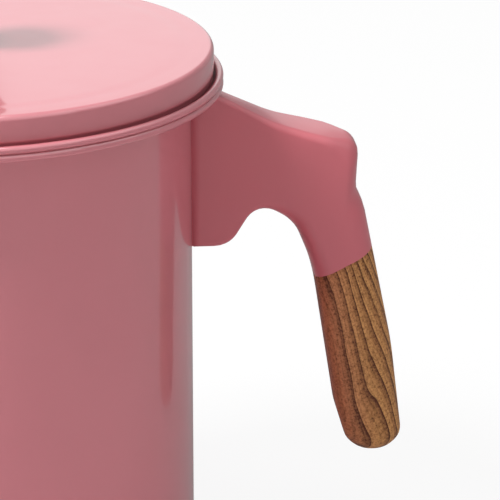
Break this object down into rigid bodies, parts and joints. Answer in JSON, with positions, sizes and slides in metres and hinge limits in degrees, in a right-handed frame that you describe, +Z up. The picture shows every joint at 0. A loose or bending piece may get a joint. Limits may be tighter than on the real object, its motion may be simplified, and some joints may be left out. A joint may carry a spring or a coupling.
{
  "type": "bacon grease container",
  "caption": "Round lidded steel pot with a lift-out strainer in its mouth, a side handle with a thumb rest and wood grip, and a turned knob on the lid.",
  "frame": {"origin": "centre of the pot's base, on the surface it stands on", "axes": "+Z up along the pot's axis, +X towards the handle, +Y to the left of the handle seen from the pot"},
  "size_m": [0.1863, 0.1372, 0.1737],
  "materials": {
    "pink_enamel": "glossy baked enamel",
    "pink_plastic": "glossy moulding",
    "wood_grain": "satin, with dark grain lines",
    "stainless": "fine brushed",
    "zinc_steel": "zinc plated",
    "brass": "turned"
  },
  "bodies": {
    "pot": {"pot_body": "pink_enamel", "handle_bracket": "zinc_steel", "handle_screw": "zinc_steel", "handle_arm": "pink_plastic", "handle_tang": "zinc_steel", "handle_grip": "wood_grain"},
    "strainer": {"strainer_rim": "pink_enamel", "strainer_cup": "stainless", "strainer_mesh": "stainless", "mesh_clamp_ring": "stainless"},
    "lid": {"lid_shell": "pink_enamel", "lid_knob": "wood_grain", "knob_insert": "brass", "knob_screw": "zinc_steel", "knob_washer": "zinc_steel"}
  },
  "joints": [
    {"name": "strainer_lift", "type": "slide", "parent": "pot", "child": "strainer", "axis": [0, 0, 1], "range_m": [0, 0.06]},
    {"name": "lid_lift", "type": "slide", "parent": "strainer", "child": "lid", "axis": [0, 0, 1], "range_m": [0, 0.05]}
  ]
}
